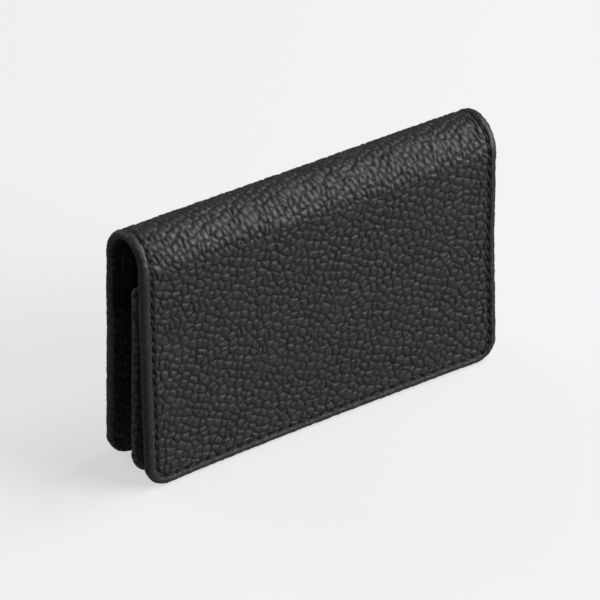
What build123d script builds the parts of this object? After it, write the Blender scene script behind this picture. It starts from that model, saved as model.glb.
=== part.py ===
"""Business card case in turned-edge leather.

A front panel and a flap hang from one rounded fold, so the case stands on its two lower edges.
The front panel carries a gusseted pocket for cards, and the flap a flat slip pocket.
+X runs along the fold, -Y is the front and +Z is up. The origin is on the surface that the case
stands on, halfway along its length and halfway through its depth.
"""

import os
from math import cos, degrees, radians, sin

from build123d import *

# Outside sizes of the closed case, in millimetres and degrees
case_length = 108.0
case_height = 70.0
fold_radius = 8.7
flap_lean = 2.5
corner_radius = 6.35

# Layers of the cover, from the outside in
skin = 1.1
board = 0.4
hem = 0.5
lining = 0.6
lining_inset = 0.8
hem_width = 8.0
edge_wrap = 1.3
outer_edge_round = 0.9
inner_edge_round = 0.6

# The spine strip turns on a line on each side of the fold
fold_line_angle = 45.0
fold_gap = 0.1

# Card pocket: its gusset and its wall
card_space = 4.2
gusset_leather = 0.7
gusset_depth = 7.5
base_depth = 4.0
gusset_rise = 8.5
wall_top = 54.5
wall_foot = 0.8
wall_side_inset = 0.5
wall_skin = 1.0
wall_board = 0.4
wall_hem = 0.5
wall_lining = 0.5
mouth_corner = 1.2

# Slip pocket on the inside of the flap
slip_leather = 0.8
slip_height = 46.0
slip_hem_width = 5.0
slip_hem = 0.4

# Sewing
stitch_pitch = 3.2
stitch_length = 2.6
thread_width = 0.6
thread_height = 0.3
groove_width = 1.0
seam_inset = 2.6
mouth_seam_drop = 2.2

# Sizes that follow from those above
half_length = case_length / 2
shell = skin + board + hem
panel = shell + lining
fold_centre = case_height - fold_radius
wall_shell = wall_skin + wall_board + wall_hem
wall_front = panel - fold_radius + card_space
wall_face_y = wall_front + wall_lining + wall_shell
flap_tangent = 90 - flap_lean
lean_sin = sin(radians(flap_lean))
lean_cos = cos(radians(flap_lean))
foot_radius = fold_radius - shell + inner_edge_round
flap_height = (fold_centre + foot_radius * lean_sin) / lean_cos
flap_foot_y = fold_radius * lean_cos + flap_height * lean_sin
flap_foot_z = fold_centre + fold_radius * lean_sin - flap_height * lean_cos
centre_y = (flap_foot_y - fold_radius) / 2


def at(y):
    """Turns a distance behind the middle of the fold into Y."""
    return y - centre_y


front_face = Plane(origin=(0, at(-fold_radius), 0), x_dir=(1, 0, 0), z_dir=(0, -1, 0))
flap_face = Plane(
    origin=(0, at(flap_foot_y), flap_foot_z),
    x_dir=(-1, 0, 0),
    z_dir=(0, lean_cos, lean_sin),
)
wall_face = Plane(origin=(0, at(wall_face_y), wall_foot), x_dir=(-1, 0, 0), z_dir=(0, 1, 0))
wall_height = wall_top - wall_foot


def panel_outline(inset, top, length=case_length, corner=corner_radius):
    """Fills the sketch with a panel that is square at its top and rounded at its foot."""
    with Locations((0, (top + inset) / 2)):
        outline = Rectangle(length - 2 * inset, top - inset)
    fillet(outline.vertices().group_by(Axis.Y)[0], max(corner - inset, 0.5))


def fold_sector(start, end, outer, inner):
    """Fills a sketch on the YZ plane with a ring sector, its angles counted rearwards from the top."""
    with BuildLine() as ring:
        far = CenterArc((at(0), fold_centre), outer, 90 - end, end - start)
        near = CenterArc((at(0), fold_centre), inner, 90 - end, end - start)
        Line(far @ 0, near @ 0)
        Line(far @ 1, near @ 1)
    make_face(ring.edges())


def rim_edges(part, face, thickness):
    """Edges that run round the foot, the sides and the fold ends of a cover piece."""
    found = []
    for edge in part.edges():
        middle = edge @ 0.5
        low = face.to_local_coords(edge.center()).Y < corner_radius
        at_end = abs(abs(middle.X) - half_length) < 0.01
        if edge.length > 1.2 * thickness and (low or at_end):
            found.append(edge)
    return found


def depth_in(point, face):
    """How far a point lies inside the cover's outer surface, on the panel or on the fold."""
    local = face.to_local_coords(point)
    if point.Z < fold_centre:
        return -local.Z
    ray = Vector(0, point.Y - at(0), point.Z - fold_centre)
    return fold_radius - ray.length


def round_rim(part, face, thickness):
    """Rounds the turned edge of a cover piece, more on its outside than on its inside."""
    rim = rim_edges(part, face, thickness)
    outside = [e for e in rim if depth_in(e @ 0.5, face) < thickness / 2]
    fillet(outside, outer_edge_round)
    rim = rim_edges(part, face, thickness)
    inside = [e for e in rim if depth_in(e @ 0.5, face) > thickness - 0.05]
    fillet(inside, inner_edge_round)


def seam_path(inset, top, length=case_length, corner=corner_radius):
    """Line of a seam down one side of a panel, round its foot and up the other side."""
    x = length / 2 - inset
    turn = corner - inset
    with BuildLine() as path:
        FilletPolyline((-x, top), (-x, inset), (x, inset), (x, top), radius=turn)
    return path.wires()[0]


def mouth_line(half, height):
    """Straight line of a seam along a pocket's mouth."""
    with BuildLine() as path:
        Line((-half, height), (half, height))
    return path.wires()[0]


def stitches_along(path):
    """One place and direction for each stitch of a seam."""
    count = round(path.length / stitch_pitch)
    places = []
    for number in range(count):
        share = (number + 0.5) / count
        point = path @ share
        places.append(Location((point.X, point.Y, 0), (0, 0, path.tangent_angle_at(share))))
    return places


def fold_stitch_planes(start, end):
    """Planes on the floor of the fold's grooves, one for each stitch between two angles."""
    count = round(radians(end - start) * fold_radius / stitch_pitch)
    planes = []
    for side in (-1, 1):
        for number in range(count):
            turn = radians(start + (end - start) * (number + 0.5) / count)
            out = Vector(0, sin(turn), cos(turn))
            along = Vector(0, cos(turn), -sin(turn))
            axis_spot = Vector(side * (half_length - seam_inset), at(0), fold_centre)
            spot = axis_spot + out * (fold_radius - thread_height)
            planes.append(Plane(origin=spot, x_dir=along, z_dir=out))
    return planes


# ---- Where the perimeter seam runs; it lies in a shallow groove of its own ----
front_seam_path = seam_path(seam_inset, fold_centre)
flap_seam_path = seam_path(seam_inset, flap_height)
seam_x = half_length - seam_inset
end_seam_planes = [Plane.YZ.offset(-seam_x), Plane.YZ.offset(seam_x)]
groove_top = fold_radius + thread_height
groove_floor = fold_radius - thread_height

# ---- Front cover: skin, turned hems and its part of the fold ----
board_top = fold_centre - 1.0
window_top = fold_centre - 3.0

with BuildPart() as front_cover:
    with BuildSketch(front_face):
        panel_outline(0, fold_centre)
    extrude(amount=-shell)
    with BuildSketch(Plane.YZ):
        fold_sector(-90, -fold_line_angle, fold_radius, fold_radius - shell)
    extrude(amount=half_length, both=True)
    round_rim(front_cover, front_face, shell)
    with BuildSketch(front_face):
        trace(front_seam_path, groove_width)
    extrude(amount=-thread_height, mode=Mode.SUBTRACT)
    with BuildSketch(*end_seam_planes):
        fold_sector(-90, -fold_line_angle, groove_top, groove_floor)
    extrude(amount=groove_width / 2, both=True, mode=Mode.SUBTRACT)
    with BuildSketch(front_face.offset(-skin)):
        panel_outline(edge_wrap, board_top)
    extrude(amount=-board, mode=Mode.SUBTRACT)
    with BuildSketch(front_face.offset(-skin - board)):
        panel_outline(hem_width, window_top)
    extrude(amount=-hem, mode=Mode.SUBTRACT)

# ---- Front board: skived round its rim, full thickness inside the hems ----
with BuildPart() as front_board:
    with BuildSketch(front_face.offset(-skin)):
        panel_outline(edge_wrap, board_top)
    extrude(amount=-board)
    with BuildSketch(front_face.offset(-skin - board)):
        panel_outline(hem_width, window_top)
    extrude(amount=-hem)

# ---- Front lining: from the foot up into the fold ----
with BuildPart() as front_lining:
    with BuildSketch(front_face.offset(-shell)):
        panel_outline(lining_inset, fold_centre)
    extrude(amount=-lining)
    with BuildSketch(Plane.YZ):
        fold_sector(-90, -fold_line_angle, fold_radius - shell, fold_radius - panel)
    extrude(amount=half_length - lining_inset, both=True)

# ---- Spine strip: the top of the fold, with its lining ----
spine_half = fold_line_angle - degrees(fold_gap / fold_radius)

with BuildPart() as spine_cover:
    with BuildSketch(Plane.YZ):
        fold_sector(-spine_half, spine_half, fold_radius, fold_radius - shell)
    extrude(amount=half_length, both=True)
    round_rim(spine_cover, front_face, shell)
    with BuildSketch(*end_seam_planes):
        fold_sector(-fold_line_angle, fold_line_angle, groove_top, groove_floor)
    extrude(amount=groove_width / 2, both=True, mode=Mode.SUBTRACT)

with BuildPart() as spine_lining:
    with BuildSketch(Plane.YZ):
        fold_sector(-spine_half, spine_half, fold_radius - shell, fold_radius - panel)
    extrude(amount=half_length - lining_inset, both=True)

# ---- Flap: the same layers as the front, leaning back ----
flap_board_top = flap_height - 1.0
flap_window_top = flap_height - 3.0

with BuildPart() as flap_cover:
    with BuildSketch(flap_face):
        panel_outline(0, flap_height)
    extrude(amount=-shell)
    with BuildSketch(Plane.YZ):
        fold_sector(fold_line_angle, flap_tangent, fold_radius, fold_radius - shell)
    extrude(amount=half_length, both=True)
    round_rim(flap_cover, flap_face, shell)
    with BuildSketch(flap_face):
        trace(flap_seam_path, groove_width)
    extrude(amount=-thread_height, mode=Mode.SUBTRACT)
    with BuildSketch(*end_seam_planes):
        fold_sector(fold_line_angle, flap_tangent, groove_top, groove_floor)
    extrude(amount=groove_width / 2, both=True, mode=Mode.SUBTRACT)
    with BuildSketch(flap_face.offset(-skin)):
        panel_outline(edge_wrap, flap_board_top)
    extrude(amount=-board, mode=Mode.SUBTRACT)
    with BuildSketch(flap_face.offset(-skin - board)):
        panel_outline(hem_width, flap_window_top)
    extrude(amount=-hem, mode=Mode.SUBTRACT)

with BuildPart() as flap_board:
    with BuildSketch(flap_face.offset(-skin)):
        panel_outline(edge_wrap, flap_board_top)
    extrude(amount=-board)
    with BuildSketch(flap_face.offset(-skin - board)):
        panel_outline(hem_width, flap_window_top)
    extrude(amount=-hem)

with BuildPart() as flap_lining:
    with BuildSketch(flap_face.offset(-shell)):
        panel_outline(lining_inset, flap_height)
    extrude(amount=-lining)
    with BuildSketch(Plane.YZ):
        fold_sector(fold_line_angle, flap_tangent, fold_radius - shell, fold_radius - panel)
    extrude(amount=half_length - lining_inset, both=True)

# ---- Slip pocket on the flap: one sheet, with its mouth edge turned over ----
slip_hem_half = half_length - seam_inset - thread_width
slip_mouth_line = mouth_line(slip_hem_half - thread_width, slip_height - mouth_seam_drop)
slip_hem_face = flap_face.offset(-panel - slip_leather - slip_hem)

with BuildPart() as slip_pocket:
    with BuildSketch(flap_face.offset(-panel)):
        panel_outline(lining_inset, slip_height)
    extrude(amount=-slip_leather)
    with BuildSketch(flap_face.offset(-panel - slip_leather)):
        with Locations((0, slip_height - slip_hem_width / 2)):
            Rectangle(2 * slip_hem_half, slip_hem_width)
    extrude(amount=-slip_hem)
    with BuildSketch(slip_hem_face):
        trace(slip_mouth_line, groove_width)
    extrude(amount=thread_height, mode=Mode.SUBTRACT)

# ---- Gusset of the card pocket: a strip folded inwards round three sides ----
gusset_front = front_face.offset(-panel)
side_reach = lining_inset + gusset_depth
base_reach = lining_inset + base_depth
base_half = half_length - side_reach


def gusset_ring(outer, side, foot):
    """Fills the sketch with the strip between the gusset's outer outline and an inner one."""
    panel_outline(outer, fold_centre)
    with Locations((0, (fold_centre + foot) / 2)):
        Rectangle(case_length - 2 * side, fold_centre - foot, mode=Mode.SUBTRACT)


with BuildPart() as gusset:
    with BuildSketch(gusset_front):
        gusset_ring(lining_inset, side_reach, base_reach)
    extrude(amount=-gusset_leather)
    with BuildSketch(gusset_front.offset(gusset_leather - card_space)):
        gusset_ring(lining_inset, side_reach, base_reach)
    extrude(amount=-gusset_leather)
    with BuildSketch(gusset_front):
        gusset_ring(side_reach - gusset_leather, side_reach, base_reach)
    extrude(amount=-card_space)
    with BuildSketch(gusset_front):
        with Locations((0, base_reach - gusset_leather / 2)):
            Rectangle(2 * base_half, gusset_leather)
    extrude(amount=-card_space)
    # The top slopes from the wall's mouth up to the front panel
    with BuildSketch(Plane.YZ):
        with BuildLine():
            Polyline(
                (at(panel - fold_radius), wall_top + gusset_rise),
                (at(wall_front), wall_top),
                (at(wall_front), case_height),
                (at(panel - fold_radius), case_height),
                close=True,
            )
        make_face()
    extrude(amount=half_length, both=True, mode=Mode.SUBTRACT)


def gusset_piece(low_x, high_x):
    """The length of the gusset between two places along X."""
    with BuildPart() as piece:
        add(gusset.part)
        with Locations(((low_x + high_x) / 2, at(0), case_height / 2)):
            Box(high_x - low_x, 4 * fold_radius, 2 * case_height, mode=Mode.INTERSECT)
    return piece


left_gusset = gusset_piece(-half_length, -base_half)
right_gusset = gusset_piece(base_half, half_length)
pocket_base = gusset_piece(-base_half, base_half)

# ---- Pocket wall: a turned-edge panel, with its mouth towards the fold ----
wall_length = case_length - 2 * wall_side_inset
wall_corner = corner_radius - wall_side_inset
wall_seam_top = wall_height - mouth_seam_drop
wall_seam_path = seam_path(seam_inset, wall_seam_top, wall_length, wall_corner)
wall_mouth_line = mouth_line(wall_length / 2 - seam_inset, wall_seam_top)

with BuildPart() as pocket_wall:
    with BuildSketch(wall_face) as wall_sketch:
        panel_outline(0, wall_height, wall_length, wall_corner)
        fillet(wall_sketch.vertices().group_by(Axis.Y)[-1], mouth_corner)
    extrude(amount=-wall_shell)
    fillet(pocket_wall.faces().sort_by(Axis.Y)[-1].edges(), outer_edge_round)
    fillet(pocket_wall.faces().sort_by(Axis.Y)[0].edges(), inner_edge_round)
    with BuildSketch(wall_face):
        trace(wall_seam_path, groove_width)
        trace(wall_mouth_line, groove_width)
    extrude(amount=-thread_height, mode=Mode.SUBTRACT)
    with BuildSketch(wall_face.offset(-wall_skin)):
        panel_outline(edge_wrap, wall_height - edge_wrap, wall_length, wall_corner)
    extrude(amount=-wall_board, mode=Mode.SUBTRACT)
    with BuildSketch(wall_face.offset(-wall_skin - wall_board)):
        panel_outline(hem_width, wall_height - hem_width, wall_length, wall_corner)
    extrude(amount=-wall_hem, mode=Mode.SUBTRACT)

with BuildPart() as pocket_board:
    with BuildSketch(wall_face.offset(-wall_skin)):
        panel_outline(edge_wrap, wall_height - edge_wrap, wall_length, wall_corner)
    extrude(amount=-wall_board)
    with BuildSketch(wall_face.offset(-wall_skin - wall_board)):
        panel_outline(hem_width, wall_height - hem_width, wall_length, wall_corner)
    extrude(amount=-wall_hem)

with BuildPart() as pocket_lining:
    with BuildSketch(wall_face.offset(-wall_shell)):
        panel_outline(lining_inset, wall_height - lining_inset, wall_length, wall_corner)
    extrude(amount=-wall_lining)

# ---- Sewing: each seam is a row of separate stitches, flush with the leather ----
with BuildPart() as front_seam:
    with BuildSketch(front_face.offset(-thread_height)):
        with Locations(*stitches_along(front_seam_path)):
            SlotOverall(stitch_length, thread_width)
    with BuildSketch(*fold_stitch_planes(-90, -fold_line_angle)):
        SlotOverall(stitch_length, thread_width)
    extrude(amount=thread_height)

with BuildPart() as spine_seams:
    with BuildSketch(*fold_stitch_planes(-fold_line_angle, fold_line_angle)):
        SlotOverall(stitch_length, thread_width)
    extrude(amount=thread_height)

with BuildPart() as flap_seam:
    with BuildSketch(flap_face.offset(-thread_height)):
        with Locations(*stitches_along(flap_seam_path)):
            SlotOverall(stitch_length, thread_width)
    with BuildSketch(*fold_stitch_planes(fold_line_angle, flap_tangent)):
        SlotOverall(stitch_length, thread_width)
    extrude(amount=thread_height)

with BuildPart() as pocket_seam:
    with BuildSketch(wall_face.offset(-thread_height)):
        with Locations(*stitches_along(wall_seam_path)):
            SlotOverall(stitch_length, thread_width)
    extrude(amount=thread_height)

with BuildPart() as pocket_mouth_seam:
    with BuildSketch(wall_face.offset(-thread_height)):
        with Locations(*stitches_along(wall_mouth_line)):
            SlotOverall(stitch_length, thread_width)
    extrude(amount=thread_height)

with BuildPart() as slip_mouth_seam:
    with BuildSketch(slip_hem_face):
        with Locations(*stitches_along(slip_mouth_line)):
            SlotOverall(stitch_length, thread_width)
    extrude(amount=thread_height)

# ---- Hand over one file for each piece ----
pieces = {
    "front_cover": front_cover,
    "front_board": front_board,
    "front_lining": front_lining,
    "front_seam": front_seam,
    "spine_cover": spine_cover,
    "spine_lining": spine_lining,
    "spine_seams": spine_seams,
    "flap_cover": flap_cover,
    "flap_board": flap_board,
    "flap_lining": flap_lining,
    "flap_seam": flap_seam,
    "slip_pocket": slip_pocket,
    "slip_mouth_seam": slip_mouth_seam,
    "left_gusset": left_gusset,
    "right_gusset": right_gusset,
    "pocket_base": pocket_base,
    "pocket_wall": pocket_wall,
    "pocket_board": pocket_board,
    "pocket_lining": pocket_lining,
    "pocket_seam": pocket_seam,
    "pocket_mouth_seam": pocket_mouth_seam,
}

os.makedirs("parts", exist_ok=True)
for name, piece in pieces.items():
    piece.part.label = name
    export_step(piece.part, f"parts/{name}.step")
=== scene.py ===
"""Business card case in black pebbled leather, standing on its two lower edges."""

from math import cos, pi, radians, sin

import bpy
import numpy as np
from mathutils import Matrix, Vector


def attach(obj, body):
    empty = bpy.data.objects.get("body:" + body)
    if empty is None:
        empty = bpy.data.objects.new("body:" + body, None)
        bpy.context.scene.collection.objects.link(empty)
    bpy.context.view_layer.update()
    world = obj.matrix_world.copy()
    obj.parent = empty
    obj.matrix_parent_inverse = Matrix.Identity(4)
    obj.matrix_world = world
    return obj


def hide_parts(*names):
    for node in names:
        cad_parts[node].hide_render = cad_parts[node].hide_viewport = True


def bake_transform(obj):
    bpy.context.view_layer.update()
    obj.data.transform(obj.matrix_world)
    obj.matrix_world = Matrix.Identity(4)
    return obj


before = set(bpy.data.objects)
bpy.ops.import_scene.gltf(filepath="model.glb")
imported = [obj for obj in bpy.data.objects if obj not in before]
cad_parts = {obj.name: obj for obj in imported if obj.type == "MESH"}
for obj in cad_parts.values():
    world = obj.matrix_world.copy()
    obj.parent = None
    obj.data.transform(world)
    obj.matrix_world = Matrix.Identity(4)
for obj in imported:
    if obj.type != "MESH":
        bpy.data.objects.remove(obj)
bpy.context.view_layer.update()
bpy.ops.object.select_all(action="DESELECT")

# ---- Hide of the cover ----
# One sheet of full-grain cowhide, tumbled so that it shrinks into pebbles, runs from the foot of the
# front panel over the fold to the foot of the flap. Its sides and feet are skived, turned over the
# board and glued down. It is shaped flat here, in millimetres, and then laid round the case.
case_length = 108.0
fold_radius = 8.7
fold_centre = 61.3
flap_lean = 2.5
mid_depth = 1.341
flap_length = 61.677
corner = 6.35
fold_sweep = radians(180 - flap_lean)
fold_top = fold_centre + fold_radius * pi / 2
sheet_end = fold_centre + fold_radius * fold_sweep + flap_length
cover_thick = 2.0
rim_thick = 2.8
flap_rim_thick = 3.5
seam_in = 2.7
stitches_each = 77
seam_length = 2 * (fold_top - corner) + pi * (corner - seam_in) + case_length - 2 * corner
stitch_pitch = seam_length / stitches_each


def drawn_in(x, height):
    """The seams draw the case in by up to a millimetre above its foot, more at its right end."""
    share = np.clip(height / 42, 0, 1)
    return x - (0.0095 * x + 0.45) * share * share * (3 - 2 * share)


def bow(x, height):
    """How far the ends of the front's foot bow forward."""
    return (0.95 - 0.006 * x) * (x * 2 / case_length) ** 2 * np.clip(1 - height / 55, 0, 1) ** 1.5


def onto_case(x, s, out):
    """Lays a sheet round the case: x along the fold, s from the front foot, out from the hide's face."""
    turned = np.clip((s - fold_centre) / fold_radius, 0, fold_sweep)
    past = s - fold_centre - turned * fold_radius
    angle = turned - pi / 2
    y = np.sin(angle) * (fold_radius + out) + np.cos(angle) * past - mid_depth
    z = np.cos(angle) * (fold_radius + out) - np.sin(angle) * past + fold_centre
    y = y - bow(x, np.maximum(s, 0))
    x = drawn_in(x, z) - (0.004 * x - 0.35) * np.sin(pi * turned / fold_sweep) ** 1.5
    return np.column_stack([x, y, z]) / 1000


def soft_noise(x, s, size, seed):
    """Slow random swell from 0 to 1, with hills of about the given size in millimetres."""
    hills = np.random.default_rng(seed).random((512, 512))
    u, v = x / size + 200, s / size + 200
    i, j = np.floor(u).astype(int), np.floor(v).astype(int)
    a, b = u - i, v - j
    a, b = a * a * (3 - 2 * a), b * b * (3 - 2 * b)
    i, j = i % 511, j % 511
    low = hills[i, j] * (1 - a) + hills[i + 1, j] * a
    high = hills[i, j + 1] * (1 - a) + hills[i + 1, j + 1] * a
    return low * (1 - b) + high * b


turn_cos, turn_sin = 0.9, 0.436  # of the grid that the pebbles grow from


def pebbles(x, s, wide, tall, seed):
    """Distance of each point from the nearest crease between pebbles, the pebble's own slant there, and
    the step from the point to that crease.

    One pebble lies in each cell of a grid that is turned against the edges of the sheet. Its middle
    strays over the loose share of the cell.
    """
    sway, loose = 0.3 * wide, 0.78
    x, s = turn_cos * x - turn_sin * s, turn_sin * x + turn_cos * s
    x, s = (
        x + sway * (soft_noise(x, s, 0.8 * wide, seed + 1) - 0.5),
        s + sway * (soft_noise(x, s, 0.8 * wide, seed + 2) - 0.5),
    )
    scatter = np.random.default_rng(seed).random((3, 512, 512))
    u, v = x / wide + 150, s / tall + 150
    i, j = np.floor(u).astype(int), np.floor(v).astype(int)
    across, along, mark = [], [], []
    for di in range(-2, 3):
        for dj in range(-2, 3):
            a, b = (i + di) % 512, (j + dj) % 512
            across.append((i + di + (1 - loose) / 2 + loose * scatter[0, a, b] - u) * wide)
            along.append((j + dj + (1 - loose) / 2 + loose * scatter[1, a, b] - v) * tall)
            mark.append(scatter[2, a, b])
    across, along, mark = np.array(across), np.array(along), np.array(mark)
    nearest = np.argmin(across**2 + along**2, axis=0)
    here = np.arange(len(x))
    ax, al, turn = across[nearest, here], along[nearest, here], 2 * pi * mark[nearest, here]
    gap = np.hypot(across - ax, along - al)
    gap[nearest, here] = np.inf
    border = ((across**2 + along**2) - (ax**2 + al**2)) / (2 * gap)
    border[nearest, here] = np.inf
    second = np.argmin(border, axis=0)
    step = border[second, here] / gap[second, here]
    step_x, step_s = step * (across[second, here] - ax), step * (along[second, here] - al)
    to_crease = (turn_cos * step_x + turn_sin * step_s, turn_cos * step_s - turn_sin * step_x)
    return border[second, here], (ax * np.cos(turn) + al * np.sin(turn)) / wide, to_crease


def edge_distance(x, s, half, foot_corner):
    """How far a point lies inside the sides and the rounded foot of a panel."""
    past_x, past_s = np.abs(x) - (half - foot_corner), foot_corner - s
    inside = np.minimum(half - np.abs(x), s)
    rounded = foot_corner - np.hypot(np.maximum(past_x, 0), np.maximum(past_s, 0))
    return np.where((past_x > 0) & (past_s > 0), rounded, inside)


def seam_place(x, s, half, foot_corner, inset):
    """Distance along the seam from the middle of the foot, for points near the seam."""
    turn = foot_corner - inset
    past_x, past_s = np.abs(x) - (half - foot_corner), foot_corner - s
    straight = half - foot_corner
    round_foot = straight + turn * np.arctan2(np.maximum(past_x, 0), np.maximum(past_s, 1e-9))
    up_side = straight + turn * pi / 2 - past_s
    return np.where(past_x <= 0, np.abs(x), np.where(past_s > 0, round_foot, up_side))


def seam_sink(x, s, half, foot_corner, inset, pitch):
    """The groove that a seam pulls into leather, deepest at its needle holes."""
    groove_deep, groove_wide = 0.3, 0.42
    hole_deep, hole_wide = 0.45, 0.42
    off = edge_distance(x, s, half, foot_corner) - inset
    step = seam_place(x, s, half, foot_corner, inset) / pitch + 0.5
    to_hole = np.abs(step - np.round(step)) * pitch
    groove = groove_deep * np.exp(-((off / groove_wide) ** 2))
    hole = hole_deep * np.exp(-(off**2 + to_hole**2) / hole_wide**2)
    return groove + hole


def grain(x, s, fold_share, reach=0.17):
    """Height and crease strength of the pebbled face, and the steps that put points on its creases.

    Over the fold the pebbles draw out into ridges that run a little aslant. Points nearer to a crease
    than reach are to move onto it.
    """
    pebble_wide, pebble_tall, fine_wide, fine_tall = 2.25, 2.3, 1.1, 1.05
    ridge_wide, drawn_out, aslant = 1.75, 1.6, 0.35
    border, slant, to_crease = pebbles(x, s, pebble_wide, pebble_tall, 11)
    along_x, along_s = x + aslant * s, (s - aslant * x) / drawn_out
    along_x, along_s = turn_cos * along_x + turn_sin * along_s, turn_cos * along_s - turn_sin * along_x
    long_border, long_slant, (a, b) = pebbles(along_x, along_s, ridge_wide, ridge_wide, 51)
    a, b = turn_cos * a - turn_sin * b, drawn_out * (turn_sin * a + turn_cos * b)
    long_step = ((a - aslant * b) / (1 + aslant**2), (b + aslant * a) / (1 + aslant**2))
    folded = fold_share > 0.5
    on_crease = np.where(folded, long_border, border) < reach
    step_x = np.where(on_crease, np.where(folded, long_step[0], to_crease[0]), 0)
    step_s = np.where(on_crease, np.where(folded, long_step[1], to_crease[1]), 0)
    border = np.where(on_crease & ~folded, 0, border)
    long_border = np.where(on_crease & folded, 0, long_border)
    strength = 0.6 + 0.5 * soft_noise(x, s, 2.9, 21)
    fine, _, _ = pebbles(x, s, fine_wide, fine_tall, 31)
    fine_strength = np.clip(2.0 * soft_noise(x, s, 2.6, 41) - 0.75, 0, 1)
    fine_cut = fine_strength * np.exp(-((fine / 0.2) ** 2))
    cut = strength * np.exp(-((border / 0.31) ** 2))
    dome = np.clip(1 - border / 0.72, 0, 1) ** 2
    height = 0.1 - 0.26 * strength * dome - 0.17 * cut - 0.07 * fine_cut + 0.04 * slant
    long_strength = 0.45 + 0.65 * soft_noise(x, s, 2.3, 61)
    long_cut = long_strength * np.exp(-((long_border / 0.24) ** 2))
    long_dome = np.clip(1 - long_border / 0.65, 0, 1) ** 2
    long_height = 0.12 - 0.42 * long_strength * long_dome - 0.16 * long_cut - 0.05 * fine_cut
    long_height = long_height + 0.16 * long_slant
    share = np.clip((fold_share - 0.5) * 4 + 0.5, 0, 1)
    height = height * (1 - share) + long_height * share
    crease, long_crease = np.maximum(1.45 * cut, 0.6 * fine_cut), np.maximum(1.45 * long_cut, 0.4 * fine_cut)
    return height, crease * (1 - share) + long_crease * share, step_x, step_s


def rim_steps(thick, outer, inner, hem):
    """The turned edge in section: (outward, depth, lean of its face, length round) from the face's edge."""
    steps = []
    for lean in (0.1 * pi, 0.2 * pi, 0.3 * pi, 0.4 * pi, 0.5 * pi):
        steps.append((outer * sin(lean), -outer * (1 - cos(lean)), lean, outer * lean))
    length = outer * pi / 2 + thick - outer - inner
    steps.append((outer, -(thick - inner), pi / 2, length))
    for lean in (0.17 * pi, 0.33 * pi, 0.5 * pi):
        out, deep = outer - inner * (1 - cos(lean)), -(thick - inner) - inner * sin(lean)
        steps.append((out, deep, pi / 2 + lean, length + inner * lean))
    length = length + inner * pi / 2
    for reach in np.linspace(0, hem, 8)[1:]:
        steps.append((outer - inner - reach, -thick, pi, length + reach))
    steps.append((outer - inner - hem - 0.2, 0.4 - thick, pi, length + hem + 0.5))
    return steps


def spread(low, high, fine_low, fine_high, count):
    """Maps 0 to 1 onto a length, with its lines closer together near the ends that are sewn."""
    sewn_band, closer = 4.3, 0.75
    place = np.linspace(low, high, 4001)
    density = np.full(len(place), 1.0)
    if fine_low:
        density = density + closer * (place - low < sewn_band)
    if fine_high:
        density = density + closer * (high - place < sewn_band)
    share = np.concatenate([[0], np.cumsum((density[1:] + density[:-1]) / 2)])
    return np.interp(np.linspace(0, share[-1], count + 1), share, place)


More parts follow.
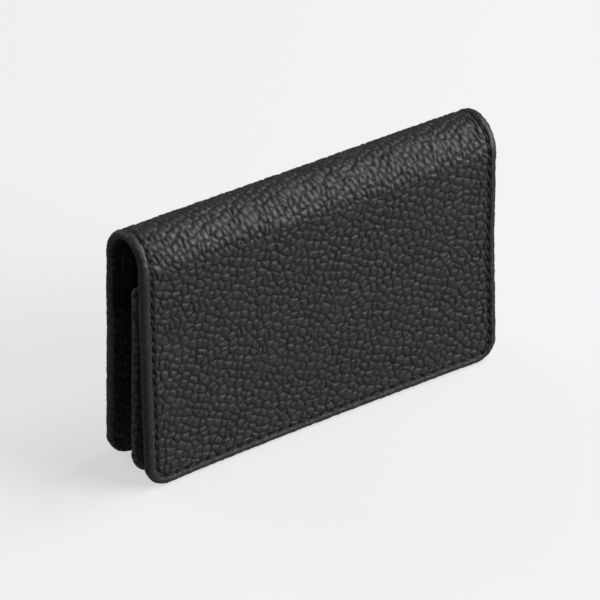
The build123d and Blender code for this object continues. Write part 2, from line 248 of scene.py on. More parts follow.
def turned_panel(name, half, low, high, foot, top, thick, columns, rows, rounds=(1.45, 1.0), hem=6.2):
    """A panel with its edge turned over, drawn flat: returns it with each vertex's place on the sheet.

    foot and top are the corner radii at the two ends; an end with None is cut square and stays open.
    rounds are the radii of the edge on the face's side and on the hem's side.
    """
    edge_round = rounds[0]
    bpy.ops.mesh.primitive_grid_add(x_subdivisions=columns, y_subdivisions=rows, size=2)
    panel = bpy.context.object
    panel.name = panel.data.name = name
    mesh = panel.data
    flat = np.empty(len(mesh.vertices) * 3, np.float32)
    mesh.vertices.foreach_get("co", flat)
    flat = flat.reshape(-1, 3)
    ends = np.empty(len(mesh.edges) * 2, np.int32)
    mesh.edges.foreach_get("vertices", ends)
    a, b = flat[ends[::2]], flat[ends[1::2]]
    sewn = (np.abs(a[:, 0] + b[:, 0]) > 1.999) & (np.abs(a[:, 0] - b[:, 0]) < 1e-4)
    if foot is not None:
        sewn |= a[:, 1] + b[:, 1] < -1.9999
    if top is not None:
        sewn |= a[:, 1] + b[:, 1] > 1.9999
    bpy.ops.object.mode_set(mode="EDIT")
    bpy.ops.mesh.select_mode(type="EDGE")
    bpy.ops.mesh.select_all(action="DESELECT")
    bpy.ops.object.mode_set(mode="OBJECT")
    mesh.edges.foreach_set("select", sewn)
    bpy.ops.object.mode_set(mode="EDIT")
    steps = rim_steps(thick, *rounds, hem)
    for _ in steps:
        bpy.ops.mesh.extrude_edges_move(TRANSFORM_OT_translate={"value": (0, 0, -1)})
    if foot is not None and top is not None:
        bpy.ops.mesh.edge_face_add()
    bpy.ops.object.mode_set(mode="OBJECT")
    flat = np.empty(len(mesh.vertices) * 3, np.float32)
    mesh.vertices.foreach_get("co", flat)
    flat = flat.reshape(-1, 3).astype(float)
    across = spread(-half + edge_round, half - edge_round, True, True, columns)
    start = low + (edge_round if foot is not None else 0)
    stop = high - (edge_round if top is not None else 0)
    along = spread(start, stop, foot is not None, top is not None, rows)
    x = np.interp((flat[:, 0] + 1) / 2, np.linspace(0, 1, columns + 1), across)
    s = np.interp((flat[:, 1] + 1) / 2, np.linspace(0, 1, rows + 1), along)
    out_x = np.where(np.abs(flat[:, 0]) > 0.9999, np.sign(flat[:, 0]), 0.0)
    out_s = np.zeros(len(x))
    for radius, end, way in ((foot, low, -1), (top, high, 1)):
        if radius is None:
            continue
        reach = radius - edge_round
        past_x = np.abs(x) - (half - radius)
        past_s = way * (s - end) + radius
        turning = (past_x > 0) & (past_s > 0)
        px = past_x * np.sqrt(np.clip(1 - past_s**2 / (2 * reach**2), 0, 1))
        ps = past_s * np.sqrt(np.clip(1 - past_x**2 / (2 * reach**2), 0, 1))
        on_foot = np.abs(flat[:, 1] - way) < 1e-4
        out_s = np.where(on_foot & ~turning, way, out_s)
        out_x = np.where(on_foot & ~turning, 0.0, out_x)
        x = np.where(turning, np.sign(x) * (half - radius + px), x)
        s = np.where(turning, end + way * (ps - radius), s)
        length = np.maximum(np.hypot(px, ps), 1e-9)
        out_x = np.where(turning, np.sign(x) * px / length, out_x)
        out_s = np.where(turning, way * ps / length, out_s)
    ring = np.round(-flat[:, 2]).astype(int)
    table = np.array([(0, 0, 0, 0)] + steps)
    reach, depth, lean, length = table[ring].T
    place = {
        "x": x + out_x * reach,
        "s": s + out_s * reach,
        "out": depth,
        "sheet_x": x + out_x * length,
        "sheet_s": s + out_s * length,
        "out_x": out_x * np.sin(lean),
        "out_s": out_s * np.sin(lean),
        "up": np.cos(lean),
        "ring": ring,
    }
    return panel, place


def sheet_uv(piece, x, s):
    """Maps a piece by its place on the flat sheet, one unit for 100 mm."""
    uv = piece.data.uv_layers.new(name="Sheet") if not piece.data.uv_layers else piece.data.uv_layers[0]
    uv.name = "Sheet"
    corners = np.empty(len(piece.data.loops), np.int32)
    piece.data.loops.foreach_get("vertex_index", corners)
    uv.data.foreach_set("uv", (np.column_stack([x, s])[corners] / 100).astype(np.float32).ravel())


def set_crease(piece, crease):
    """Keeps how deep in a crease each point lies, for the painted shade in the leather's colour and for its
    gloss.
    """
    layer = piece.data.attributes.new("crease", "FLOAT", "POINT")
    layer.data.foreach_set("value", crease.astype(np.float32))


def put_vertices(piece, points, outward):
    """Moves the vertices into place, turns the faces the right way out and shades them smooth."""
    piece.data.vertices.foreach_set("co", points.astype(np.float32).ravel())
    piece.data.update()
    if not outward:
        piece.data.flip_normals()
    bpy.ops.object.select_all(action="DESELECT")
    piece.select_set(True)
    bpy.context.view_layer.objects.active = piece
    bpy.ops.object.shade_smooth()


def leather_finish(name, tone, crease_painted_shade, gloss, pore):
    """Dyed and waxed leather: creases darkened with painted shade and duller, hair pores, and fine wrinkles
    between them.
    """
    finish = bpy.data.materials.new(name)
    finish.use_nodes = True
    nodes, links = finish.node_tree.nodes, finish.node_tree.links
    shader = nodes["Principled BSDF"]
    sheet = nodes.new("ShaderNodeUVMap")
    sheet.uv_map = "Sheet"
    crease = nodes.new("ShaderNodeAttribute")
    crease.attribute_name = "crease"
    cloud = nodes.new("ShaderNodeTexNoise")
    cloud.inputs["Scale"].default_value = 9
    cloud.inputs["Detail"].default_value = 5
    links.new(sheet.outputs["UV"], cloud.inputs["Vector"])
    dye = nodes.new("ShaderNodeMix")
    dye.data_type = "RGBA"
    dye.inputs["A"].default_value = (*[t * 0.82 for t in tone], 1)
    dye.inputs["B"].default_value = (*[t * 1.2 for t in tone], 1)
    links.new(cloud.outputs["Fac"], dye.inputs["Factor"])
    # Painted shade: where the crease attribute is high, the colour is mixed towards a near-black shade tone.
    shade = nodes.new("ShaderNodeMix")
    shade.data_type = "RGBA"
    shade.inputs["B"].default_value = (*crease_painted_shade, 1)
    links.new(crease.outputs["Fac"], shade.inputs["Factor"])
    links.new(dye.outputs["Result"], shade.inputs["A"])
    links.new(shade.outputs["Result"], shader.inputs["Base Color"])
    wax = nodes.new("ShaderNodeMapRange")
    wax.inputs["To Min"].default_value = gloss
    wax.inputs["To Max"].default_value = min(gloss + 0.37, 0.95)
    links.new(crease.outputs["Fac"], wax.inputs["Value"])
    rub = nodes.new("ShaderNodeMath")
    rub.operation = "MULTIPLY_ADD"
    rub.inputs[1].default_value = 0.12
    links.new(cloud.outputs["Fac"], rub.inputs[0])
    links.new(wax.outputs["Result"], rub.inputs[2])
    links.new(rub.outputs["Value"], shader.inputs["Roughness"])
    wrinkle = nodes.new("ShaderNodeTexNoise")
    wrinkle.inputs["Scale"].default_value = 130
    wrinkle.inputs["Detail"].default_value = 4
    wrinkle.inputs["Roughness"].default_value = 0.6
    links.new(sheet.outputs["UV"], wrinkle.inputs["Vector"])
    pores = nodes.new("ShaderNodeTexVoronoi")
    pores.inputs["Scale"].default_value = pore
    links.new(sheet.outputs["UV"], pores.inputs["Vector"])
    pit = nodes.new("ShaderNodeMapRange")
    pit.inputs["From Max"].default_value = 0.35
    links.new(pores.outputs["Distance"], pit.inputs["Value"])
    relief = nodes.new("ShaderNodeMath")
    relief.operation = "MULTIPLY_ADD"
    relief.inputs[1].default_value = 0.35
    links.new(pit.outputs["Result"], relief.inputs[0])
    links.new(wrinkle.outputs["Fac"], relief.inputs[2])
    bump = nodes.new("ShaderNodeBump")
    bump.inputs["Strength"].default_value = 0.7
    bump.inputs["Distance"].default_value = 0.00032
    links.new(relief.outputs["Value"], bump.inputs["Height"])
    links.new(bump.outputs["Normal"], shader.inputs["Normal"])
    shader.inputs["IOR"].default_value = 1.47
    return finish


hide = leather_finish("black_pebbled_hide", (0.0275, 0.0275, 0.028), (0.0015, 0.0015, 0.0015), 0.27, 150)


def fold_share(s):
    """1 over the fold and 0 on the panels, where the grain lies undrawn."""
    drawn_from, change = 57.5, 7.5
    front = np.clip((s - drawn_from) / change, 0, 1)
    rear = np.clip((sheet_end - drawn_from - s) / change, 0, 1)
    share = np.minimum(front, rear)
    return share * share * (3 - 2 * share)


def rim_wrinkles(seam_walked, inside):
    """Small wrinkles across the rolled edge outside the seam, and the soft roll of the edge itself."""
    share = np.clip((seam_in - 0.4 - inside) / 0.6, 0, 1)
    ripple = soft_noise(seam_walked, 0.25 * inside, 0.75, 91) - 0.5
    return share, 0.17 * ripple + 0.1 * np.sin(pi * np.clip((seam_in - inside) / seam_in, 0, 1))


def corner_pleats(x, from_foot, half, foot_corner):
    """Pleats where the hem is gathered round a corner of the foot."""
    pleats = np.zeros(len(x))
    cx, cs = np.abs(x) - (half - foot_corner), from_foot - foot_corner
    bearing, far = np.arctan2(-cs, cx), np.hypot(cx, cs)
    for ray in (0.12, 0.42, 0.78, 1.1, 1.42):
        pleats = pleats + np.exp(-(((bearing - ray) * far / 0.28) ** 2)) * (far > 0.3)
    return np.clip(pleats, 0, 1)


def cover_half(name, low, high, foot, top):
    """Half of the hide, from one foot to the top of the fold, grained and laid round the case."""
    half = case_length / 2
    columns, rows = 328, 227
    panel, at = turned_panel(name, half, low, high, foot, top, rim_thick, columns, rows)
    x, s = at["sheet_x"], at["sheet_s"]
    from_foot = s if foot is not None else sheet_end - s
    spot_s = at["s"] if foot is not None else sheet_end - at["s"]
    height, crease, step_x, step_s = grain(x, s, fold_share(s))
    inside = edge_distance(at["x"], spot_s, half, corner)
    face, hemmed = at["up"] > 0.3, at["up"] < -0.9
    free = face & (inside > 1.8) & (np.abs(at["s"] - fold_top) > 0.5)
    at["x"], at["s"] = at["x"] + step_x * free, at["s"] + step_s * free
    x, s = x + step_x * free, s + step_s * free
    walked = seam_place(at["x"], spot_s, half, corner, seam_in)
    share, roll = rim_wrinkles(walked, inside)
    share = np.where(face & (inside > 0), share, np.where(hemmed, 0, 1))
    swell = 0.22 * (soft_noise(x, s, 17, 71) - 0.5) * np.clip(inside / 8, 0, 1)
    sink = seam_sink(x, from_foot, half, corner, seam_in, stitch_pitch) * face
    calm = 1 - 0.6 * np.exp(-(((inside - seam_in) / 0.9) ** 2))
    lift = height * (1 - 0.85 * share) * calm + roll * share + swell - sink
    pleats = corner_pleats(at["x"], spot_s, half, corner) * hemmed
    hem_sink = seam_sink(at["x"], spot_s, half, corner, seam_in, stitch_pitch)
    lift = np.where(hemmed, 0.35 * height - 0.05 - 0.25 * pleats - hem_sink, lift)
    # Painted shade: the crease value also darkens the turned sides, the seam's groove and needle holes, the
    # hem's pleats and the hem.
    side = np.clip(-at["out"] / 0.8, 0, 1) * ~hemmed
    crease = np.clip(0.42 * side + crease * (1 - 0.7 * share) + 5 * sink + 0.6 * pleats + 0.5 * hemmed, 0, 1)
    fold_thinned, fold_half, slip_top, slip_step = 0.29, 14, 49, 5
    depth = at["out"] * (1 - fold_thinned * np.clip(1 - np.abs(at["s"] - fold_top) / fold_half, 0, 1) ** 0.5)
    if foot is None:
        thicker = flap_rim_thick / rim_thick - 1
        depth = depth * (1 + thicker * np.clip((slip_top - spot_s) / slip_step, 0, 1))
    points = onto_case(at["x"] + at["out_x"] * lift, at["s"] + at["out_s"] * lift, depth + at["up"] * lift)
    put_vertices(panel, points, True)
    sheet_uv(panel, x, s)
    set_crease(panel, crease)
    panel.data.materials.append(hide)
    return panel, np.abs(at["s"] - fold_top) < 1e-4


front_hide, front_join = cover_half("front_hide", 0, fold_top, corner, None)
flap_hide, flap_join = cover_half("flap_hide", fold_top, sheet_end, None, corner)


def join_normals(first, first_rows, second, second_rows):
    """Gives two pieces the same normals along their join, so that they read as one sheet."""
    normals = []
    for piece in (first, second):
        found = np.empty(len(piece.data.vertices) * 3, np.float32)
        piece.data.vertices.foreach_get("normal", found)
        normals.append(found.reshape(-1, 3))
    places = []
    for piece, rows in ((first, first_rows), (second, second_rows)):
        co = np.empty(len(piece.data.vertices) * 3, np.float32)
        piece.data.vertices.foreach_get("co", co)
        chosen = np.flatnonzero(rows)
        spot = np.round(co.reshape(-1, 3)[chosen] * 1e6)
        places.append(chosen[np.lexsort(spot.T)])
    shared = normals[0][places[0]] + normals[1][places[1]]
    shared /= np.linalg.norm(shared, axis=1)[:, None]
    for piece, found, rows in ((first, normals[0], places[0]), (second, normals[1], places[1])):
        found[rows] = shared
        piece.data.normals_split_custom_set_from_vertices(found.tolist())


join_normals(front_hide, front_join, flap_hide, flap_join)


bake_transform(front_hide)
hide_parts("front_cover", "spine_cover")
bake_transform(flap_hide)
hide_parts("flap_cover")


# ---- Seam of the cover ----
# Black bonded polyester thread, saddle-locked through the skived edge at five stitches to 16 mm. The
# seam runs up both sides, over the ends of the fold and round both feet, sunk in its groove.
thread_wide = 0.52
stitch_slant = radians(9)
stitch_sunk = 0.16


def thread_finish():
    """Black bonded thread: three plies in a tight twist, with a low waxy shine and painted shade in the
    grooves between the plies.
    """
    finish = bpy.data.materials.new("black_thread")
    finish.use_nodes = True
    nodes, links = finish.node_tree.nodes, finish.node_tree.links
    shader = nodes["Principled BSDF"]
    ply = nodes.new("ShaderNodeUVMap")
    ply.uv_map = "Sheet"
    twist = nodes.new("ShaderNodeTexWave")
    twist.bands_direction = "DIAGONAL"
    twist.inputs["Scale"].default_value = 2.4
    twist.inputs["Distortion"].default_value = 0.6
    links.new(ply.outputs["UV"], twist.inputs["Vector"])
    # Painted shade: the twist's grooves, where the bump lies low, are coloured darker.
    tone = nodes.new("ShaderNodeValToRGB")
    tone.color_ramp.elements[0].color = (0.004, 0.004, 0.004, 1)
    tone.color_ramp.elements[1].color = (0.016, 0.016, 0.0165, 1)
    links.new(twist.outputs["Fac"], tone.inputs["Fac"])
    links.new(tone.outputs["Color"], shader.inputs["Base Color"])
    bump = nodes.new("ShaderNodeBump")
    bump.inputs["Strength"].default_value = 0.7
    bump.inputs["Distance"].default_value = 0.0001
    links.new(twist.outputs["Fac"], bump.inputs["Height"])
    links.new(bump.outputs["Normal"], shader.inputs["Normal"])
    shader.inputs["Roughness"].default_value = 0.42
    return finish


thread = thread_finish()


def stitch_row(name, centres, headings, pitch, lay, face=0.0):
    """One seam: a stitch is modelled once, copied to each centre and laid down by lay(x, s, out)."""
    bpy.ops.mesh.primitive_uv_sphere_add(segments=8, ring_count=8, radius=1, rotation=(0, pi / 2, 0))
    bpy.ops.object.transform_apply(location=False, rotation=True, scale=False)
    stitch = bpy.context.object
    form = np.array([v.co[:] for v in stitch.data.vertices])
    faces = [tuple(f.vertices) for f in stitch.data.polygons]
    bpy.data.objects.remove(stitch, do_unlink=True)
    length = form[:, 0] * pitch * 0.53
    width = form[:, 1] * thread_wide / 2 * (1.0 - 0.25 * form[:, 0] ** 2)
    rise = form[:, 2] * thread_wide / 2 - stitch_sunk - 0.42 * np.abs(form[:, 0]) ** 3
    x, s, out, uv = [], [], [], []
    for number, ((cx, cs), heading) in enumerate(zip(centres, headings)):
        turn = heading + stitch_slant
        x.append(cx + length * cos(turn) - width * sin(turn))
        s.append(cs + length * sin(turn) + width * cos(turn))
        out.append(rise + face)
        uv.append(np.column_stack([form[:, 0] + 2.3 * number, np.arctan2(form[:, 2], form[:, 1]) / pi]))
    mesh = bpy.data.meshes.new(name)
    every = [tuple(v + n * len(form) for v in f) for n in range(len(centres)) for f in faces]
    mesh.from_pydata(lay(np.concatenate(x), np.concatenate(s), np.concatenate(out)).tolist(), [], every)
    seam = bpy.data.objects.new(name, mesh)
    bpy.context.collection.objects.link(seam)
    place = np.concatenate(uv)
    sheet_uv(seam, place[:, 0] * 100, place[:, 1] * 100)
    bpy.ops.object.select_all(action="DESELECT")
    seam.select_set(True)
    bpy.context.view_layer.objects.active = seam
    bpy.ops.object.mode_set(mode="EDIT")
    bpy.ops.mesh.select_all(action="SELECT")
    bpy.ops.mesh.normals_make_consistent(inside=False)
    bpy.ops.object.mode_set(mode="OBJECT")
    bpy.ops.object.shade_smooth()
    mesh.materials.append(thread)
    return seam


def seam_walk(half, foot_corner, inset, top, pitch):
    """Centres and headings of the stitches up both sides and round the foot, s measured from the foot."""
    turn = foot_corner - inset
    straight = half - foot_corner
    total = straight + turn * pi / 2 + top - foot_corner
    centres, headings = [], []
    for number in range(int(round(total / pitch + 0.5))):
        t = number * pitch
        for side in (-1, 1) if number else (1,):
            if t < straight:
                spot, heading = (t, inset), 0
            elif t < straight + turn * pi / 2:
                heading = (t - straight) / turn
                spot = (straight + turn * sin(heading), foot_corner - turn * cos(heading))
            else:
                spot, heading = (half - inset, foot_corner + t - straight - turn * pi / 2), pi / 2
            if spot[1] < top:
                centres.append((side * spot[0], spot[1]))
                headings.append(heading if side > 0 else pi - heading)
    return np.array(centres), np.array(headings)


centres, headings = seam_walk(case_length / 2, corner, seam_in, fold_top, stitch_pitch)
front_thread = stitch_row("front_thread", centres, headings, stitch_pitch, onto_case)
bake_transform(front_thread)
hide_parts("front_seam", "spine_seams")


def onto_flap(x, s, out):
    """The same as onto_case, with s measured from the flap's foot."""
    return onto_case(x, sheet_end - s, out)


flap_thread = stitch_row("flap_thread", centres, headings, stitch_pitch, onto_flap)
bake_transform(flap_thread)
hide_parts("flap_seam")

# ---- Boards ----
# Bonded leather fibre, 0.9 mm thick and skived to 0.4 mm under the hems. One stiffens the front, one
# the flap and one the pocket wall. Glued between hide and lining, they can't be seen.


def board_finish():
    """Brown-grey fibre board with flecks of shaved leather."""
    finish = bpy.data.materials.new("fibre_board")
    finish.use_nodes = True
    nodes, links = finish.node_tree.nodes, finish.node_tree.links
    shader = nodes["Principled BSDF"]
    place = nodes.new("ShaderNodeTexCoord")
    fleck = nodes.new("ShaderNodeTexNoise")
    fleck.inputs["Scale"].default_value = 900
    fleck.inputs["Detail"].default_value = 6
    links.new(place.outputs["Object"], fleck.inputs["Vector"])
    tone = nodes.new("ShaderNodeValToRGB")
    tone.color_ramp.elements[0].color = (0.09, 0.06, 0.04, 1)
    tone.color_ramp.elements[1].color = (0.26, 0.2, 0.15, 1)
    links.new(fleck.outputs["Fac"], tone.inputs["Fac"])
    links.new(tone.outputs["Color"], shader.inputs["Base Color"])
    shader.inputs["Roughness"].default_value = 0.9
    return finish


board = board_finish()
for node in ("front_board", "flap_board"):
    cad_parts[node].data.materials.clear()
    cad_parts[node].data.materials.append(board)

# ---- Lining of the cover ----
# Thinner black cowhide, 0.6 mm, covers the boards and the hems from 1.6 mm inside the edge. It runs
# on under the fold, so the front half and the flap half meet at the top there as the hide does.
lining_in = 1.6
lining_thick = 0.6
# Its tone is set far darker than the hide's, as painted shade for the inside of the case; the slip pocket and
# the wall's lining use it too.
lining_leather_painted_shade = leather_finish(
    "black_lining_leather", (0.0045, 0.0045, 0.0047), (0.0015, 0.0015, 0.0015), 0.55, 190
)


def cut_grain(at, cut_x, cut_s):
    """The grain of a panel that lies flat and is cut elsewhere on the hide, cut_x and cut_s away."""
    return grain(at["sheet_x"] + cut_x, at["sheet_s"] + cut_s, np.zeros(len(at["x"])), 0)


def lining_half(name, low, high, foot, top):
    """Half of the lining, facing into the case."""
    half = case_length / 2 - lining_in
    panel, at = turned_panel(
        name, half, low, high, foot, top, lining_thick, columns=190, rows=136, rounds=(0.25, 0.1), hem=1.0
    )
    height, crease, _, _ = cut_grain(at, 31, 57)
    from_foot = at["s"] if foot is not None else sheet_end - at["s"]
    inside = edge_distance(at["x"], from_foot, half + lining_in, corner)
    lift = np.where(at["up"] > 0.3, 0.4 * height * np.clip((inside - 5.5) / 2, 0, 1), 0)
    points = onto_case(at["x"], at["s"], -cover_thick - lining_thick - at["out"] - lift)
    put_vertices(panel, points, False)
    sheet_uv(panel, at["sheet_x"], at["sheet_s"])
    # Painted shade: the grain's creases are darkened through the crease value.
    set_crease(panel, np.clip(crease, 0, 1))
    panel.data.materials.append(lining_leather_painted_shade)
    return panel, np.abs(at["s"] - fold_top) < 1e-4


front_inside, front_join = lining_half("front_inside", lining_in, fold_top, corner - lining_in, None)
flap_inside, flap_join = lining_half("flap_inside", fold_top, sheet_end - lining_in, None, corner - lining_in)
join_normals(front_inside, front_join, flap_inside, flap_join)
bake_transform(front_inside)
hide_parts("front_lining", "spine_lining")
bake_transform(flap_inside)
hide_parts("flap_lining")

# ---- Slip pocket of the flap ----
# A sheet of the same thin leather as the lining, 0.8 mm, with its mouth turned over and sewn. The
# cover's seam holds its sides and foot, so its thread shows again here, on the flap's inner side.
slip_thick = 0.8
slip_high = 46.0
slip_half = case_length / 2 - lining_in
slip_mouth = 2.2
slip_stitches = 28
slip_pitch = (case_length - 15) / slip_stitches
slip_face = -cover_thick - lining_thick - slip_thick
slip_cut = (-23, -71)
slip_sheet, at = turned_panel(
    "slip_pocket_sheet", slip_half, sheet_end - slip_high, sheet_end - lining_in,
    0.5, corner - lining_in, slip_thick, columns=236, rows=104, rounds=(0.4, 0.3), hem=3.0,
)
from_foot = sheet_end - at["s"]
from_mouth = slip_high - from_foot
inside = edge_distance(at["x"], from_foot, case_length / 2, corner)
height, crease, _, _ = cut_grain(at, *slip_cut)
mouth_hem = 0.36 * np.clip((5.3 - from_mouth) / 0.6, 0, 1) * np.clip((inside - 2.6) / 0.6, 0, 1)
along_mouth = np.abs(at["x"]) / slip_pitch + 0.5
to_hole = np.abs(along_mouth - np.round(along_mouth)) * slip_pitch
off = from_mouth - slip_mouth
sink = 0.13 * np.exp(-((off / 0.45) ** 2)) + 0.3 * np.exp(-(off**2 + to_hole**2) / 0.3**2)
clear_of_hem = inside - 5.5
lift = 0.55 * height * np.clip(clear_of_hem / 2, 0, 1) + (mouth_hem - sink) * np.clip(clear_of_hem, 0, 1)
lift = np.where(at["up"] > 0.3, lift, 0)
put_vertices(slip_sheet, onto_case(at["x"], at["s"], slip_face - at["out"] - lift), False)
sheet_uv(slip_sheet, at["sheet_x"] + slip_cut[0], at["sheet_s"] + slip_cut[1])
# Painted shade: the mouth seam's groove and needle holes are darkened through the crease value, and the sheet
# takes the lining's darker leather as painted shade inside the flap.
set_crease(slip_sheet, np.clip(crease + 1.5 * sink, 0, 1))
slip_sheet.data.materials.append(lining_leather_painted_shade)
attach(slip_sheet, "flap")
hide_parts("slip_pocket")


def onto_flap_inside(x, s, out):
    """The same as onto_flap, for what faces into the case."""
    return onto_flap(x, s, -out)


middle = (slip_stitches - 1) / 2
mouth = np.array([((n - middle) * slip_pitch, slip_high - slip_mouth) for n in range(slip_stitches)])
slip_thread = stitch_row(
    "slip_mouth_thread", mouth, np.zeros(slip_stitches), slip_pitch, onto_flap_inside, -slip_face + 0.3
)
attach(slip_thread, "flap")
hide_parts("slip_mouth_seam")

low_stitches = centres[:, 1] < slip_high - 1
inside_thread = stitch_row(
    "flap_inside_thread", centres[low_stitches], headings[low_stitches], stitch_pitch,
    onto_flap_inside, flap_rim_thick,
)
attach(inside_thread, "flap")

# ---- Wall of the card pocket ----
# A second turned-edge panel of the pebbled hide over its own board. Its mouth is towards the fold and
# its corners there are nearly square. A seam runs round its three sides and one along its mouth.
wall_face = 0.5
wall_half = case_length / 2 - 0.5
wall_foot = 0.2
wall_high = 56.0
wall_corner = 5.85
wall_mouth_corner = 1.6
wall_thick = 1.9
wall_rim_thick = 2.9
wall_lean = radians(2.4)
wall_stitches = 63
mouth_stitches = 32
wall_cut = (83, 19)


def onto_wall(x, s, out):
    """Stands a flat sheet up as the pocket wall, facing the flap; s is counted from the wall's foot.

    With no cards in it the wall leans on its gusset, towards the front.
    """
    y = wall_face + out * cos(wall_lean) - s * sin(wall_lean) - mid_depth - 0.15 * bow(x, np.maximum(s, 0))
    z = s * cos(wall_lean) + out * sin(wall_lean) + wall_foot
    return np.column_stack([drawn_in(x, z), y, z]) / 1000


wall_seam_top = wall_high - slip_mouth
wall_path = 2 * (wall_seam_top - wall_corner) + pi * (wall_corner - seam_in) + 2 * (wall_half - wall_corner)
wall_pitch = wall_path / wall_stitches
wall_mouth_pitch = 2 * (wall_half - seam_in) / mouth_stitches
wall_sheet, at = turned_panel(
    "pocket_wall_hide", wall_half, 0, wall_high, wall_corner, wall_mouth_corner, wall_rim_thick,
    columns=262, rows=134,
)
height, crease, _, _ = cut_grain(at, *wall_cut)
inside = np.minimum(edge_distance(at["x"], at["s"], wall_half, wall_corner), wall_high - at["s"])
off = wall_high - at["s"] - slip_mouth
along_mouth = at["x"] / wall_mouth_pitch
to_hole = np.abs(along_mouth - np.round(along_mouth)) * wall_mouth_pitch
side_seam = seam_sink(at["x"], at["s"], wall_half, wall_corner, seam_in, wall_pitch)
sink = np.where(at["s"] < wall_seam_top + 0.3, side_seam, 0)
mouth_seam = 0.15 * np.exp(-((off / 0.5) ** 2)) + 0.34 * np.exp(-(off**2 + to_hole**2) / 0.3**2)
sink = np.maximum(sink, mouth_seam * (np.abs(at["x"]) < wall_half - seam_in + 0.3)) * (at["up"] > 0.3)
swell = 0.2 * (soft_noise(at["x"], at["s"], 15, 72) - 0.5) * np.clip(inside / 8, 0, 1)
face, hemmed = at["up"] > 0.3, at["up"] < -0.9
walked = seam_place(at["x"], at["s"], wall_half, wall_corner, seam_in)
share, roll = rim_wrinkles(walked, inside)
share = np.where(face & (inside > 0), share, np.where(hemmed, 0, 1))
lift = height * (1 - 0.85 * share) + roll * share + swell - sink
lift = np.where(hemmed, 0.3 * height - 0.05, lift)
points = onto_wall(at["x"] + at["out_x"] * lift, at["s"] + at["out_s"] * lift, at["out"] + at["up"] * lift)
put_vertices(wall_sheet, points, False)
sheet_uv(wall_sheet, at["sheet_x"] + wall_cut[0], at["sheet_s"] + wall_cut[1])
# Painted shade: the seams' grooves and needle holes are darkened through the crease value.
set_crease(wall_sheet, np.clip(crease + 1.5 * sink, 0, 1))
wall_sheet.data.materials.append(hide)
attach(wall_sheet, "pocket")
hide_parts("pocket_wall")

bpy.ops.object.select_all(action="DESELECT")
bpy.ops.mesh.primitive_cube_add(size=1)
wall_board = bpy.context.object
wall_board.name = wall_board.data.name = "pocket_wall_board"
bpy.ops.object.mode_set(mode="EDIT")
bpy.ops.mesh.subdivide(number_cuts=12)
bpy.ops.object.mode_set(mode="OBJECT")
place = np.array([v.co[:] for v in wall_board.data.vertices])
board_long, board_high, board_thick = 2 * wall_half - 9, wall_high - 7, 0.4
laid = onto_wall(
    place[:, 0] * board_long, (place[:, 2] + 0.5) * board_high + 4, place[:, 1] * board_thick - 1.2
)
put_vertices(wall_board, laid, True)
wall_board.data.materials.append(board)
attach(wall_board, "pocket")
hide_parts("pocket_board")

wall_centres, wall_headings = seam_walk(wall_half, wall_corner, seam_in, wall_seam_top, wall_pitch)
wall_thread = stitch_row("pocket_side_thread", wall_centres, wall_headings, wall_pitch, onto_wall)
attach(wall_thread, "pocket")
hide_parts("pocket_seam")
middle = (mouth_stitches - 1) / 2
mouth = np.array([((n - middle) * wall_mouth_pitch, wall_seam_top) for n in range(mouth_stitches)])
mouth_thread = stitch_row(
    "pocket_mouth_thread", mouth, np.zeros(mouth_stitches), wall_mouth_pitch, onto_wall
)
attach(mouth_thread, "pocket")
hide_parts("pocket_mouth_seam")

# ---- Lining of the pocket wall ----
# The same thin leather, cut 1.6 mm inside the wall's edge and glued over its hems. It faces the cards
# and stops just below the mouth's turned edge.
wall_lining_thick = 0.5
wall_inside, at = turned_panel(
    "pocket_wall_inside", wall_half - lining_in, lining_in, wall_high - lining_in,
    wall_corner - lining_in, 0.5, wall_lining_thick, columns=180, rows=90, rounds=(0.2, 0.1), hem=1.0,
)
height, crease, _, _ = cut_grain(at, -47, 133)
inside = edge_distance(at["x"], at["s"], wall_half, wall_corner)
lift = np.where(at["up"] > 0.3, 0.4 * height * np.clip((inside - 0.9) / 1.2, 0, 1), 0)
out = -wall_thick - wall_lining_thick - at["out"] - lift
put_vertices(wall_inside, onto_wall(at["x"], at["s"], out), True)
sheet_uv(wall_inside, at["sheet_x"], at["sheet_s"])
# Painted shade: the grain's creases are darkened through the crease value.
set_crease(wall_inside, np.clip(crease, 0, 1))
wall_inside.data.materials.append(lining_leather_painted_shade)
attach(wall_inside, "pocket")
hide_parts("pocket_lining")

# ---- Gusset of the card pocket ----
# A strip of 0.7 mm black leather, folded inwards down its middle, closes both ends and the foot of
# the pocket. One leg is sewn in with the front panel's edge and the other with the wall's edge.
gusset_front = -6.1
gusset_rear = -1.9
gusset_top, gusset_top_drop, gusset_top_limit = 63.0, 8.6, 61.2
gusset_gap = 3.4
gusset_clear = 0.03
gusset_reach = 7.98
gusset_edge = case_length / 2 - 1.5
outer_foot, outer_turn = 1.5, 5.0
inner_side, inner_foot, inner_turn = 7.5, 4.8, 4.2
gusset_leather = leather_finish(
    "black_gusset_leather", (0.007, 0.007, 0.0073), (0.002, 0.002, 0.002), 0.55, 230
)
section = np.array([
    (0.15, -5.95), (0.05, -5.75), (0.15, -5.5), (0.6, -5.42), (1.9, -5.4), (3.1, -5.37), (4.2, -5.2),
    (5.4, -4.86), (6.5, -4.46), (7.1, -4.17), (7.25, -4.0), (7.1, -3.83), (6.5, -3.54), (5.4, -3.14),
    (4.2, -2.8), (3.1, -2.63), (1.9, -2.6), (0.6, -2.58), (0.15, -2.5), (0.05, -2.25), (0.15, -2.05),
    (0.7, -1.95), (1.9, -1.93), (3.2, -1.95), (4.4, -2.1), (5.7, -2.45), (6.9, -2.92), (7.75, -3.4),
    (7.98, -4.0), (7.75, -4.6), (6.9, -5.08), (5.7, -5.55), (4.4, -5.9), (3.2, -6.05), (1.9, -6.07),
    (0.7, -6.05),
])
reach_in, section_y = section[:, 0] / gusset_reach, section[:, 1]
outer_x, inner_x = -gusset_edge + outer_turn, -gusset_edge + inner_side + inner_turn
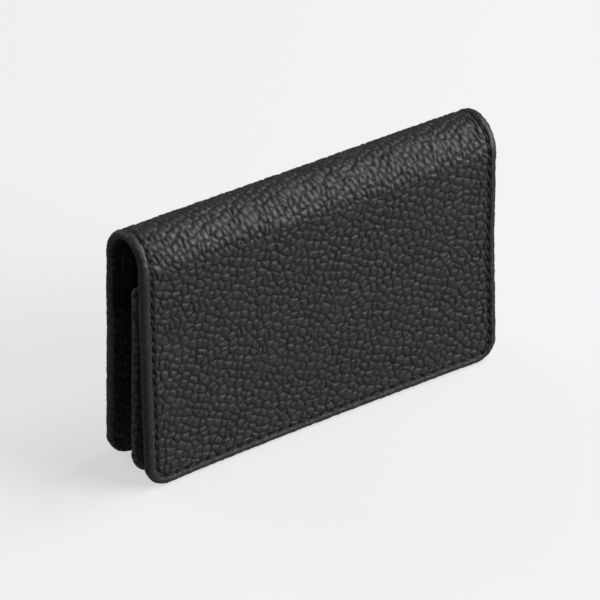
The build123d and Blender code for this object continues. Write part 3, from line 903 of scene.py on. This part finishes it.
inner_z = inner_foot + inner_turn
outer_line, inner_line = [], []
for share in np.linspace(0, 1, 150, endpoint=False):
    outer_line.append((-gusset_edge, corner, share))
    inner_line.append((-gusset_edge + inner_side, inner_z, share))
for turn in np.linspace(0, pi / 2, 22, endpoint=False):
    outer_line.append((outer_x - outer_turn * cos(turn), corner - (corner - outer_foot) * sin(turn), 1))
    inner_line.append((inner_x - inner_turn * cos(turn), inner_z - inner_turn * sin(turn), 1))
for share in np.linspace(0, 1, 120):
    outer_line.append((outer_x * (1 - share), outer_foot, 1))
    inner_line.append((inner_x * (1 - share), inner_foot, 1))
outer_line = np.array(outer_line + [(-x, z, t) for x, z, t in outer_line[-2::-1]])
inner_line = np.array(inner_line + [(-x, z, t) for x, z, t in inner_line[-2::-1]])
rearward = (section_y - gusset_front) / (gusset_rear - gusset_front)
top_cut = np.minimum(gusset_top - rearward * gusset_top_drop, gusset_top_limit)
rows = []
for (ox, oz, share), (ix, iz, _) in zip(outer_line, inner_line):
    low = oz + (iz - oz) * reach_in
    z = top_cut + (low - top_cut) * share if share < 1 else low
    rows.append(np.column_stack([ox + (ix - ox) * reach_in, section_y, z]))
strip = np.concatenate(rows)
across = len(section)
gap = gusset_gap - np.clip(strip[:, 2] - wall_foot, 0, None) * sin(wall_lean)
depth_share = (strip[:, 1] - section_y.min()) / np.ptp(section_y)
strip[:, 1] = rim_thick - fold_radius + gusset_clear + depth_share * gap
strip[:, 1] -= bow(strip[:, 0], strip[:, 2]) * (1 - 0.85 * depth_share)
strip[:, 0] = drawn_in(strip[:, 0], strip[:, 2])
pucker = 0.2 * (soft_noise(strip[:, 2] + 3 * strip[:, 0], 2.5 * strip[:, 1], 5.0, 81) - 0.5)
strip[:, 1] += pucker * np.clip((np.tile(reach_in, len(rows)) - 0.3) * 2, 0, 1)
faces = [
    (r * across + c, r * across + (c + 1) % across, (r + 1) * across + (c + 1) % across, (r + 1) * across + c)
    for r in range(len(rows) - 1)
    for c in range(across)
]
faces.append(tuple(range(across))[::-1])
faces.append(tuple(range((len(rows) - 1) * across, len(rows) * across)))
bpy.ops.object.select_all(action="DESELECT")
mesh = bpy.data.meshes.new("pocket_gusset")
mesh.from_pydata(((strip - (0, mid_depth, 0)) / 1000).tolist(), [], faces)
gusset = bpy.data.objects.new("pocket_gusset", mesh)
bpy.context.collection.objects.link(gusset)
gusset.select_set(True)
bpy.context.view_layer.objects.active = gusset
bpy.ops.object.mode_set(mode="EDIT")
bpy.ops.mesh.select_all(action="SELECT")
bpy.ops.mesh.normals_make_consistent(inside=False)
bpy.ops.object.mode_set(mode="OBJECT")
bpy.ops.object.shade_smooth_by_angle(angle=radians(60))
round_strip = np.concatenate([[0], np.cumsum(np.hypot(*np.diff(section, axis=0).T))])
along_strip = np.cumsum(np.concatenate([[0], np.hypot(*np.diff(outer_line[:, :2], axis=0).T)]))
along_strip = along_strip + np.where(outer_line[:, 2] < 1, outer_line[:, 2] * 55, 55)
sheet_uv(gusset, np.tile(round_strip, len(rows)), np.repeat(along_strip, across))
# Painted shade: the gusset is darkened towards its inner fold, deep in the pocket's groove.
painted_fold_shade = np.clip((np.tile(reach_in, len(rows)) - 0.6) * 2, 0, 1)
set_crease(gusset, painted_fold_shade)
mesh.materials.append(gusset_leather)
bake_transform(gusset)
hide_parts("left_gusset", "right_gusset", "pocket_base")

# ---- Floor, light and camera ----
# A pale seamless table. A softbox high on the right and one in front, lower, lay the bright band along
# the shoulder of the fold and light the grain from the side. A third, behind, lights the flap's back.
bpy.ops.mesh.primitive_plane_add(size=6, location=(0, 0, -0.00015))
table = bpy.context.object
table.name = "table_top"
pale = bpy.data.materials.new("pale_table")
pale.use_nodes = True
pale_shader = pale.node_tree.nodes["Principled BSDF"]
pale_shader.inputs["Base Color"].default_value = (0.28, 0.28, 0.28, 1)
pale_shader.inputs["Roughness"].default_value = 0.9
pale_shader.inputs["Specular IOR Level"].default_value = 0.1
pale_shader.inputs["Emission Color"].default_value = (1, 1, 1, 1)
pale_shader.inputs["Emission Strength"].default_value = 0.585
table.data.materials.append(pale)
table.visible_glossy = False

target = Vector((0, -mid_depth / 1000, 0.035))


def softbox(name, direction, distance, size, power):
    """A rectangular area light that faces the case."""
    lamp = bpy.data.lights.new(name, "AREA")
    lamp.shape = "RECTANGLE"
    lamp.size, lamp.size_y = size
    lamp.energy = power
    holder = bpy.data.objects.new(name, lamp)
    holder.location = target + Vector(direction).normalized() * distance
    holder.rotation_euler = (target - holder.location).to_track_quat("-Z", "Y").to_euler()
    bpy.context.collection.objects.link(holder)


softbox("rear_softbox", (-0.35, 0.85, 0.42), 1.8, (1.2, 1.0), 7.5)
softbox("upper_right_softbox", (0.5, -0.15, 0.86), 1.5, (0.8, 0.8), 13)
softbox("front_right_softbox", (0.64, -0.74, 0.45), 1.5, (0.85, 0.9), 24.5)

world = bpy.data.worlds.new("studio")
world.use_nodes = True
world.node_tree.nodes["Background"].inputs["Color"].default_value = (0.95, 0.97, 1.0, 1)
world.node_tree.nodes["Background"].inputs["Strength"].default_value = 0.125
bpy.context.scene.world = world

camera = bpy.data.cameras.new("camera")
camera.lens = 275.7
camera.sensor_width = 36
camera.clip_start = 0.05
camera.shift_x = -0.01017
camera.shift_y = -0.01567
viewpoint = bpy.data.objects.new("camera", camera)
round_by, above = radians(34.5), radians(32.3)
back = Vector((-sin(round_by) * cos(above), -cos(round_by) * cos(above), sin(above)))
viewpoint.location = target + back * 1.157
viewpoint.rotation_euler = (-back).to_track_quat("-Z", "Y").to_euler()
bpy.context.collection.objects.link(viewpoint)
bpy.context.scene.camera = viewpoint
bpy.context.scene.view_settings.view_transform = "Standard"
bpy.context.scene.view_settings.look = "None"
